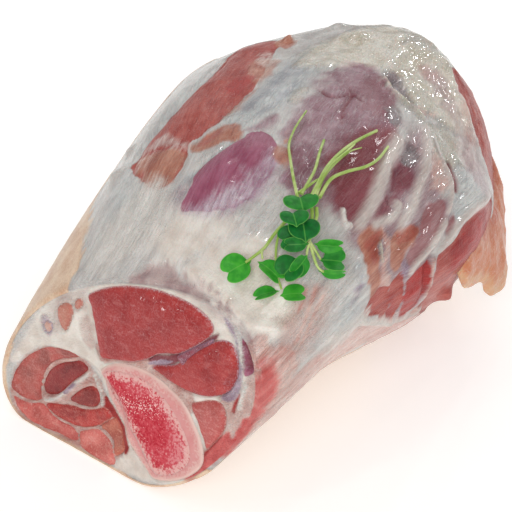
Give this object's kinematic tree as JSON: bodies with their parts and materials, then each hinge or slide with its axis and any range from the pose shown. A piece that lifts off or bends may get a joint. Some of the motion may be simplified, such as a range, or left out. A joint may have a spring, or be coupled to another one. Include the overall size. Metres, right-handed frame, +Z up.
{
  "type": "raw pork shank",
  "caption": "Raw skinned pork shank lying on its side, sawn across the shin so that bone and muscles show, with a bunch of sprouts on top.",
  "frame": {"origin": "on the surface it rests on, under the middle of its box", "axes": "+X along the leg from the sawn cut to the knee end, +Z up, -Y to the near side with the flap"},
  "size_m": [0.2054, 0.1604, 0.1028],
  "materials": {
    "fascia_and_fat": "wet, soft, half clear over white; raw fat and connective tissue",
    "skin_and_fat": "raw skin and fat, half clear, damp",
    "bone": "sawn, damp",
    "marrow_bone": "sawn, spongy, damp",
    "cut_muscle": "cut across the grain, damp",
    "pale_cut_muscle": "cut across the grain, damp",
    "tendon": "cut, smooth, damp",
    "sprout_green": "fresh leaf, satin"
  },
  "bodies": {
    "root": {"flesh": "fascia_and_fat", "skin_flap": "skin_and_fat", "shin_bone": "bone", "bone_core": "marrow_bone", "upper_muscle": "cut_muscle", "side_muscle": "cut_muscle", "small_muscle": "pale_cut_muscle", "calf_outer": "pale_cut_muscle", "calf_deep": "cut_muscle", "calf_inner": "cut_muscle", "calf_lower": "pale_cut_muscle", "front_slip": "pale_cut_muscle", "round_tendon": "tendon", "sprouts": "sprout_green"}
  },
  "joints": []
}
